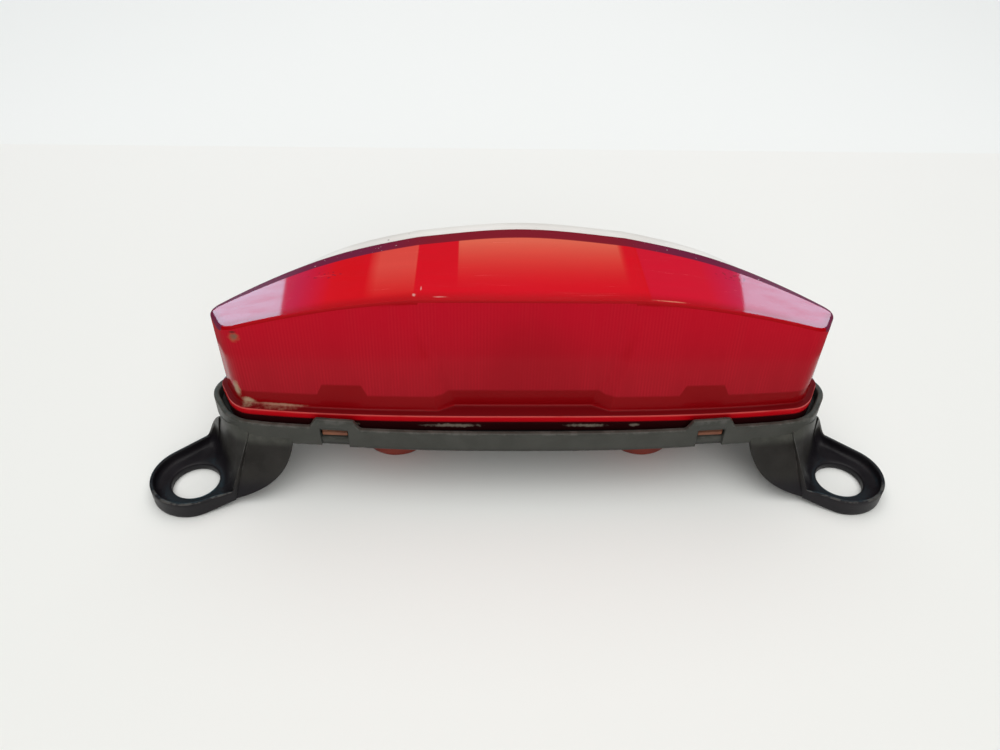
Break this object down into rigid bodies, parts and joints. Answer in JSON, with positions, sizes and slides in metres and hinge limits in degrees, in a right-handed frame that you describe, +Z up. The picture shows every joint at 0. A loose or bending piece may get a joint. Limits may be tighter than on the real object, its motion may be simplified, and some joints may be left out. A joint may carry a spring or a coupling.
{
  "type": "motorcycle tail light",
  "caption": "Motorcycle tail light: a red crescent lens clipped on a black tray with two mounting ears, a clear number plate window, and bayonet bulbs in twist-in holders.",
  "frame": {"origin": "middle of the lamp's bounding box, on the surface it lies on", "axes": "+X to the right along the two ears, +Y to the curved back of the lens, +Z up out of the lens"},
  "size_m": [0.2706, 0.083, 0.0758],
  "materials": {
    "housing": "satin black moulding, worn paler on its edges",
    "lens": "clear red moulding, glossy, lightly scuffed",
    "clear_window": "clear moulding, glossy",
    "seal": "matt black",
    "holder_seal": "matt red-brown",
    "reflector": "vacuum metallised, mirror bright",
    "screw": "zinc plated",
    "holder": "satin dark grey",
    "terminal": "bright, slightly tarnished",
    "spring": "bright wire",
    "contact_plate": "pressed laminate, brown",
    "bulb_cap": "nickel plated",
    "bulb_insulator": "black glass",
    "solder": "dull solder",
    "bulb_glass": "clear, thin",
    "bulb_mount": "clear stem with nickel leads",
    "filament": "coiled tungsten"
  },
  "bodies": {
    "lamp": {"housing": "housing", "lens": "lens", "plate_window": "clear_window", "lens_seal": "seal", "reflector": "reflector", "reflector_screw_1": "screw", "reflector_screw_2": "screw", "reflector_screw_3": "screw", "reflector_screw_4": "screw"},
    "left_holder": {"holder_left": "holder", "holder_seal_left": "holder_seal", "terminal_tail_left": "terminal", "terminal_stop_left": "terminal", "terminal_earth_left": "terminal", "contact_spring_left": "spring"},
    "left_bulb": {"contact_plate_left": "contact_plate", "contact_rivet_tail_left": "terminal", "contact_rivet_stop_left": "terminal", "solder_dot_tail_left": "solder", "solder_dot_stop_left": "solder", "bulb_insulator_left": "bulb_insulator", "bulb_cap_left": "bulb_cap", "bulb_glass_left": "bulb_glass", "bulb_mount_left": "bulb_mount", "filament_tail_left": "filament", "filament_stop_left": "filament"},
    "right_holder": {"holder_right": "holder", "holder_seal_right": "holder_seal", "terminal_tail_right": "terminal", "terminal_stop_right": "terminal", "terminal_earth_right": "terminal", "contact_spring_right": "spring"},
    "right_bulb": {"contact_plate_right": "contact_plate", "contact_rivet_tail_right": "terminal", "contact_rivet_stop_right": "terminal", "solder_dot_tail_right": "solder", "solder_dot_stop_right": "solder", "bulb_insulator_right": "bulb_insulator", "bulb_cap_right": "bulb_cap", "bulb_glass_right": "bulb_glass", "bulb_mount_right": "bulb_mount", "filament_tail_right": "filament", "filament_stop_right": "filament"}
  },
  "joints": [
    {"name": "holder_left_twist", "type": "hinge", "parent": "lamp", "child": "left_holder", "pos_m": [-0.048, 0.00319, 0], "axis": [0, 0, 1], "range_deg": [0, 40]},
    {"name": "bulb_left_press", "type": "slide", "parent": "left_holder", "child": "left_bulb", "axis": [0, 0, -1], "range_m": [0, 0.0025], "stiffness_N_per_m": 1500, "springref_m": -0.008, "deforming": ["contact_spring_left"]},
    {"name": "holder_right_twist", "type": "hinge", "parent": "lamp", "child": "right_holder", "pos_m": [0.048, 0.00319, 0], "axis": [0, 0, 1], "range_deg": [0, 40]},
    {"name": "bulb_right_press", "type": "slide", "parent": "right_holder", "child": "right_bulb", "axis": [0, 0, -1], "range_m": [0, 0.0025], "stiffness_N_per_m": 1500, "springref_m": -0.008, "deforming": ["contact_spring_right"]}
  ]
}
